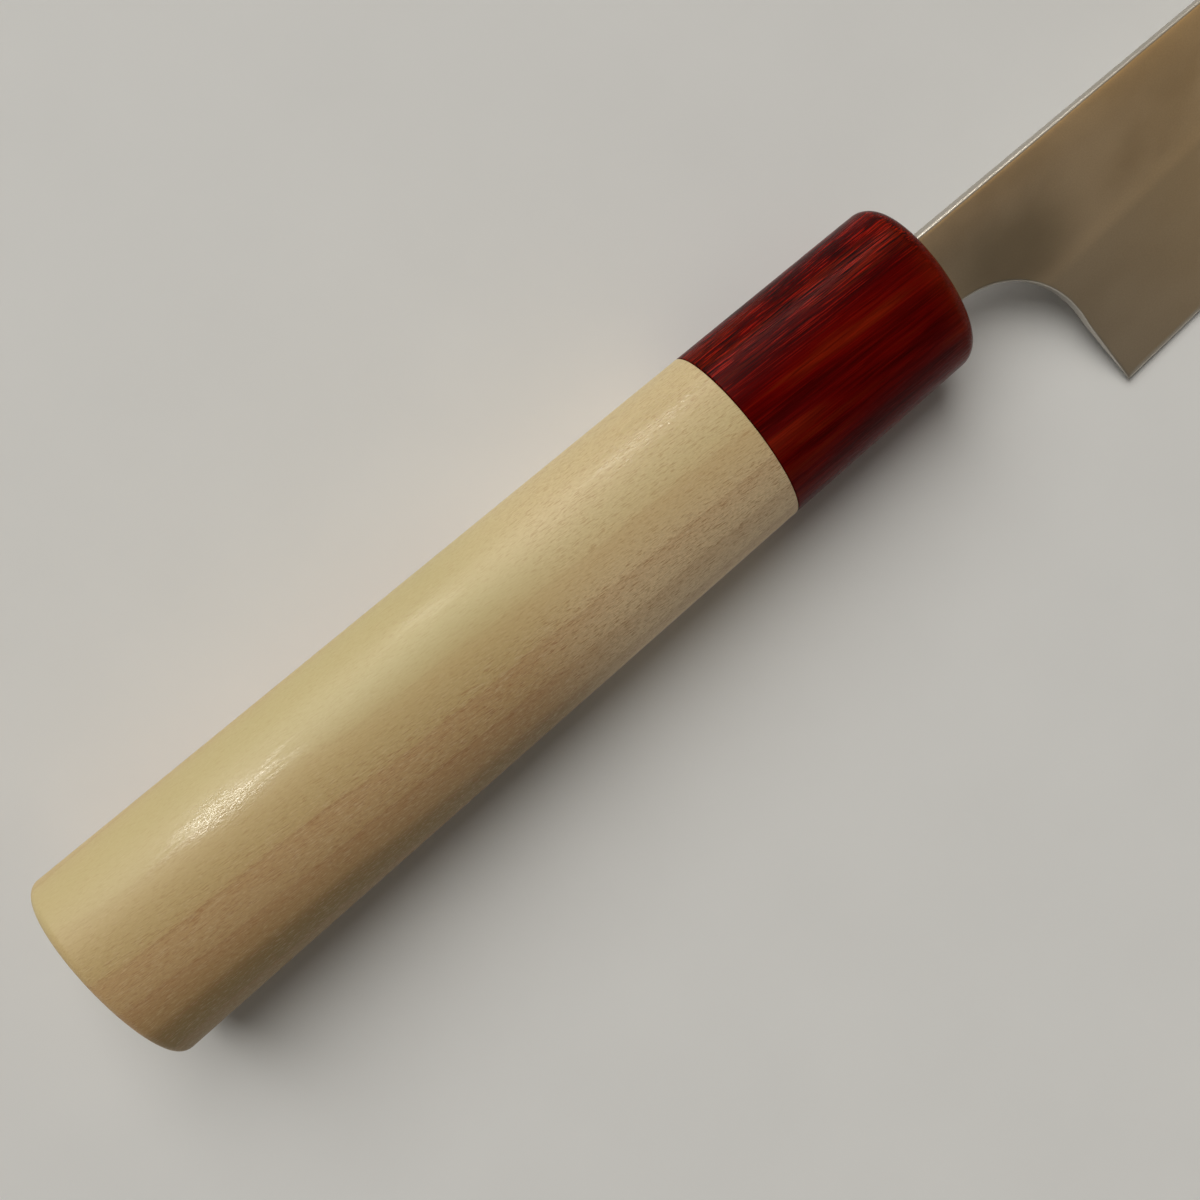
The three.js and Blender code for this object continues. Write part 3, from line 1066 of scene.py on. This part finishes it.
def pale_wood_colour(tree, along_grip, place, fleck, thread, grit):
    """Colour of the pale wood, with painted light near the ferrule and partly painted shade along the edge's
    side, and a mask of how rough its grain is.
    """
    growth = growth_radius(tree, place)
    zone = band(tree, growth, LINE_RADIUS - YEAR_WIDTH, LINE_RADIUS + YEARS_IN_VIEW * YEAR_WIDTH)
    years = number(tree, "DIVIDE", number(tree, "SUBTRACT", growth, LINE_RADIUS), YEAR_WIDTH)
    year = number(tree, "FRACT", years)
    # Painted light near the ferrule, strongest on the edge's side.
    lit_near_ferrule = band(tree, along_grip, *PAINTED_LIGHT_STRETCH)
    roughed = band(tree, zone, *ROUGH_BY_ZONE)
    roughed = number(tree, "MAXIMUM", roughed, times(tree, lit_near_ferrule, ROUGH_WHERE_PAINTED_LIGHT))
    roughed = times(tree, roughed, band(tree, along_grip, *COARSER_STRETCH))
    painted_light_mask = times(tree, lit_near_ferrule, band(tree, zone, *PAINTED_LIGHT_BY_ZONE))
    pink_mask = times(tree, band(tree, year, *PINK_FADE), roughed)
    grit_mask = times(tree, band(tree, grit, *FINE_SPREAD), roughed)

    colour = tinted(tree, ramp(tree, zone, WOOD_TONES_AND_EDGE_SHADE), painted_light_mask, PAINTED_LIGHT_TINT)
    colour = tinted(tree, colour, pink_mask, PINKER_TINT)
    colour = mixed(tree, growth_line(tree, place, year, zone, grit, lit_near_ferrule), colour, LINE_BROWN)
    colour = tinted(tree, colour, times(tree, fleck, roughed), FLECK_TINT)
    colour = tinted(tree, colour, times(tree, thread, roughed), THREAD_TINT)
    colour = tinted(tree, colour, grit_mask, GRIT_TINT)
    return colour, roughed


def pale_wood():
    """Satin pale wood with slanting growth lines and short flecks, rubbed to a shine in places."""
    material, tree, shader = new_material("pale wood")
    straight_place = knife_place(tree)
    along_grip = add_node(tree, "ShaderNodeSeparateXYZ", Vector=straight_place).outputs["X"]
    fibre_place = knife_place(tree, lean=FIBRE_LEAN)
    fleck, thread, height = fibres(tree, fibre_place, FIBRE_LENGTH, FIBRE_WIDTH)
    grit = noise(tree, fibre_place, GRIT_LUMPS, roughness=0.7)
    dimples = noise(tree, fibre_place, DIMPLE_LUMPS, detail=1.0)
    ring_place = knife_place(tree, lean=RING_LEAN)
    colour, roughed = pale_wood_colour(tree, along_grip, ring_place, fleck, thread, grit)

    shine = rubbed(tree, straight_place)
    satin = band(tree, shine, 0.0, 1.0, SATIN, RUBBED_SATIN)
    roughness = plus(tree, satin, band(tree, grit, *FINE_SPREAD, *GRIT_SATIN))
    fibre_relief = number(tree, "MAXIMUM", times(tree, roughed, FIBRE_RELIEF), shine)
    relief = times(tree, number(tree, "SUBTRACT", height, FIBRE_MIDDLE), fibre_relief)
    relief = plus(tree, relief, times(tree, grit, GRIT_RELIEF))
    dimpled = number(tree, "SUBTRACT", dimples, DIMPLE_MIDDLE)
    relief = plus(tree, relief, times(tree, dimpled, shine, DIMPLE_RELIEF))
    connect(tree, shader, colour, roughness, relief, WOOD_BUMP, WOOD_BUMP_DEPTH)
    return material


pale_wood_finish = pale_wood()
print("finish:", pale_wood_finish.name, "of", len(pale_wood_finish.node_tree.nodes), "nodes")

# %% [markdown]
# ## Red wood
# The ferrule is dyed and sealed wood: long streaks from near black through maroon to orange red, and fine
# black pores that lie closest near the spine. Three stretched noises give the streaks, from broad to hair
# fine. The sealed surface is smooth but mirrors little, so its roughness and its specular level are both low.

# %% Red wood material
RED_LEAN = math.radians(3.0)
BROAD_LUMPS = (0.035, 0.3, 0.3)
NARROW_LUMPS = (0.07, 1.7, 1.7)
HAIR_LUMPS = (0.09, 6.0, 6.0)
BROAD_SHARE = 0.65
NARROW_SHARE = 0.35
RED_FIBRE_LENGTH = 4.0
RED_FIBRE_WIDTH = 0.14
SPINE_SIDE = (3.0, 9.0)
RIM_STRETCH = (-5.0, 0.0, 0.0, 0.4)
PORE_SPREAD = (0.5, 0.62)
PORE_BY_SIDE = (0.0, 1.0, 0.16, 0.95)
FILAMENT_SPREAD = (0.43, 0.34)
FILAMENT_BY_SIDE = (0.0, 1.0, 0.14, 0.6)
RED_STREAKS = (
    (0.36, paint(68, 1, 1)),
    (0.45, paint(86, 1, 1)),
    (0.50, paint(98, 3, 1)),
    (0.56, paint(104, 20, 3)),
    (0.65, paint(132, 28, 6)),
)
RIM_ORANGE = paint(122, 36, 8)
SPINE_TINT = (0.4, paint(44, 1, 1))
RED_FLECK_TINT = (0.3, paint(30, 1, 1))
FILAMENT_RED = paint(180, 30, 12)
PORE_BLACK = paint(16, 1, 1)
SEALED_GLOSS = (0.26, 0.4)
THREAD_GLOSS = 0.05
RED_HEIGHT = 0.4
RED_BUMP = 0.25
RED_BUMP_DEPTH = 0.01 * MM
RED_SPECULAR = 0.04


def red_wood():
    """Glossy dyed wood with long red streaks and black hairlines, darker towards the spine."""
    material, tree, shader = new_material("red wood")
    place = knife_place(tree, lean=RED_LEAN)
    parts = add_node(tree, "ShaderNodeSeparateXYZ", Vector=place)
    spine_side = band(tree, parts.outputs["Y"], *SPINE_SIDE)
    broad = noise(tree, place, BROAD_LUMPS)
    narrow = noise(tree, place, NARROW_LUMPS, roughness=0.6)
    hair = noise(tree, place, HAIR_LUMPS, roughness=0.6)
    streak = plus(tree, times(tree, broad, BROAD_SHARE), times(tree, narrow, NARROW_SHARE))
    fleck, thread, height = fibres(tree, place, RED_FIBRE_LENGTH, RED_FIBRE_WIDTH)
    pores = times(tree, band(tree, hair, *PORE_SPREAD), band(tree, spine_side, *PORE_BY_SIDE))
    filament = times(tree, band(tree, hair, *FILAMENT_SPREAD), band(tree, spine_side, *FILAMENT_BY_SIDE))
    rim = band(tree, parts.outputs["X"], *RIM_STRETCH)

    colour = mixed(tree, rim, ramp(tree, streak, RED_STREAKS), RIM_ORANGE)
    colour = tinted(tree, colour, spine_side, SPINE_TINT)
    colour = tinted(tree, colour, fleck, RED_FLECK_TINT)
    colour = mixed(tree, filament, colour, FILAMENT_RED)
    colour = mixed(tree, pores, colour, PORE_BLACK)
    gloss = band(tree, pores, 0.0, 1.0, *SEALED_GLOSS)
    roughness = plus(tree, gloss, times(tree, thread, THREAD_GLOSS))
    relief = number(tree, "SUBTRACT", times(tree, height, RED_HEIGHT), pores)
    connect(tree, shader, colour, roughness, relief, RED_BUMP, RED_BUMP_DEPTH)
    shader.inputs["Specular IOR Level"].default_value = RED_SPECULAR
    return material


red_wood_finish = red_wood()
print("finish:", red_wood_finish.name, "of", len(red_wood_finish.node_tree.nodes), "nodes")

# %% [markdown]
# ## Blade steel
# The steel has a hazy, very fine finish that scatters reflections, in soft clouds. Around the neck and the
# choil a dark reflection is painted into its colour. The bevel is painted greyer than the flat above it, as a
# painted reflection, and a lighter band along the soft line between them is a painted highlight. That line
# follows the edge, so the edge's slope and its belly are taken out of a place's height first.

# %% Steel material
CLOUD_LUMPS = (0.06, 0.11, 0.11)
HAZE_LUMPS = (5.0, 7.0, 7.0)
# A dark reflection is painted into the steel's colour around the neck and the choil.
DARK_REFLECTION_CENTRE = (10.5, -4.8)
DARK_REFLECTION_REACH = (14.0, 7.4)
DARK_REFLECTION_CORE = 0.2
BEVEL_LINE = (edge_line(0.0) + BEVEL_HEIGHT) / MM
BEVEL_REFLECTION_FADE = (0.6, -0.8)
# The lighter band along the bevel line is a painted highlight.
HIGHLIGHT_RISE = (-1.0, 0.4)
HIGHLIGHT_FALL = (2.6, 0.6)
CLOUD_STEEL = (paint(190, 183, 172), paint(202, 196, 186))
# The bevel's greyer tone is a painted reflection.
BEVEL_REFLECTION_TINT = (0.8, paint(188, 183, 174))
BEVEL_LINE_HIGHLIGHT_TINT = (0.4, paint(216, 208, 194))
DARK_REFLECTION_TINT = (0.68, paint(134, 130, 120))
HAZE_GREY = paint(134, 128, 118)
HAZE_SHARE = (0.0, 0.12)
CLOUD_GLOSS = (0.34, 0.38)
HAZE_GLOSS = (-0.03, 0.03)
STEEL_BUMP = 0.08
STEEL_BUMP_DEPTH = 0.01 * MM


def belly_rise(tree, x):
    """How far the belly's curve lifts the edge above its straight line, at x in millimetres."""
    half = belly_half / MM
    lean = belly_lean / MM
    full_rise = (TIP.y - edge_line(TIP.x)) / MM
    way = number(tree, "MAXIMUM", number(tree, "SUBTRACT", x, edge_straight_end.x / MM), 0.0)
    root = number(tree, "SQRT", plus(tree, times(tree, way, lean), half * half))
    share = number(tree, "DIVIDE", number(tree, "SUBTRACT", root, half), lean)
    return times(tree, share, share, full_rise)


def height_from_edge(tree, place):
    """Height of a place on the blade in millimetres, with the edge's slope and belly taken out."""
    parts = add_node(tree, "ShaderNodeSeparateXYZ", Vector=place)
    along_edge = times(tree, parts.outputs["X"], EDGE_SLOPE)
    above_line = number(tree, "SUBTRACT", parts.outputs["Y"], along_edge)
    return number(tree, "SUBTRACT", above_line, belly_rise(tree, parts.outputs["X"]))


def beside_bevel_line(tree, height, fade):
    """A mask that rises over a stretch of heights, given from the line where the bevel starts."""
    return band(tree, height, BEVEL_LINE + fade[0], BEVEL_LINE + fade[1])


def blade_steel():
    """Hazy fine steel, clouded, with a painted dark reflection near the choil, a bevel painted greyer as a
    reflection and a painted highlight along the bevel line.
    """
    material, tree, shader = new_material("blade steel")
    place = knife_place(tree)
    cloud = noise(tree, place, CLOUD_LUMPS, detail=3.0, roughness=0.6)
    haze = noise(tree, place, HAZE_LUMPS)
    height = height_from_edge(tree, place)
    # Painted reflection: the bevel is tinted greyer than the flat.
    bevel = beside_bevel_line(tree, height, BEVEL_REFLECTION_FADE)
    # Painted highlight along the bevel line.
    highlight_rise = beside_bevel_line(tree, height, HIGHLIGHT_RISE)
    painted_highlight = times(tree, highlight_rise, beside_bevel_line(tree, height, HIGHLIGHT_FALL))
    # Painted dark reflection around the neck and the choil.
    dark_reflection = band(tree, oval_distance(tree, place, DARK_REFLECTION_CENTRE, DARK_REFLECTION_REACH), 1.0, DARK_REFLECTION_CORE)

    colour = mixed(tree, band(tree, cloud, *NOISE_SPREAD), *CLOUD_STEEL)
    colour = tinted(tree, colour, bevel, BEVEL_REFLECTION_TINT)
    colour = tinted(tree, colour, painted_highlight, BEVEL_LINE_HIGHLIGHT_TINT)
    colour = tinted(tree, colour, dark_reflection, DARK_REFLECTION_TINT)
    colour = mixed(tree, band(tree, haze, *FINE_SPREAD, *HAZE_SHARE), colour, HAZE_GREY)
    cloudy = band(tree, cloud, *NOISE_SPREAD, *CLOUD_GLOSS)
    roughness = plus(tree, cloudy, band(tree, haze, *NOISE_SPREAD, *HAZE_GLOSS))
    connect(tree, shader, colour, roughness, haze, STEEL_BUMP, STEEL_BUMP_DEPTH)
    shader.inputs["Metallic"].default_value = 1.0
    return material


steel_finish = blade_steel()
print("finish:", steel_finish.name, "of", len(steel_finish.node_tree.nodes), "nodes")

# %% [markdown]
# ## Sealant
# The fill at the mouth and the bed around the tang are the same dark adhesive, slightly cloudy and satin.

# %% Sealant material
SEALANT_LUMPS = (0.6, 0.6, 0.6)
SEALANT_BROWNS = (paint(82, 66, 52), paint(112, 93, 75))
SEALANT_GLOSS = (0.4, 0.55)
SEALANT_BUMP = 0.2
SEALANT_BUMP_DEPTH = 0.05 * MM


def sealant():
    """Dark satin adhesive, a little cloudy."""
    material, tree, shader = new_material("sealant")
    cloud = noise(tree, knife_place(tree), SEALANT_LUMPS, detail=3.0)
    colour = mixed(tree, cloud, *SEALANT_BROWNS)
    roughness = band(tree, cloud, *NOISE_SPREAD, *SEALANT_GLOSS)
    connect(tree, shader, colour, roughness, cloud, SEALANT_BUMP, SEALANT_BUMP_DEPTH)
    return material


seal_finish = sealant()
print("finish:", seal_finish.name, "of", len(seal_finish.node_tree.nodes), "nodes")

# %% [markdown]
# ## Dress the pieces
# Each piece is laid down by the knife's matrix, which is then applied, so that its object sits at the origin
# like the imported nodes. It takes the place of its node, rides on the one body and gets its material.

# %% Dress and place
SMOOTH_ANGLE = math.radians(35)


def dress(piece, node_name, material):
    """Lays a finished piece down, smooths it, gives it its material and its place in the frame."""
    clear_selection()
    piece.select_set(True)
    bpy.context.view_layer.objects.active = piece
    piece.matrix_world = knife_to_row
    bpy.ops.object.transform_apply(location=True, rotation=True, scale=True)
    bpy.ops.object.shade_smooth_by_angle(angle=SMOOTH_ANGLE)
    piece.data.materials.clear()
    piece.data.materials.append(material)
    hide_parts(node_name)
    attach(piece, "root")
    print(piece.name, "stands for", node_name, "with", len(piece.data.polygons), "faces")


dress(blade, "blade", steel_finish)
dress(ferrule, "ferrule", red_wood_finish)
dress(grip, "handle_body", pale_wood_finish)
dress(seal, "mouth_seal", seal_finish)
bedding = frame["nodes"]["tang_bedding"]
bedding.data.materials.clear()
bedding.data.materials.append(seal_finish)
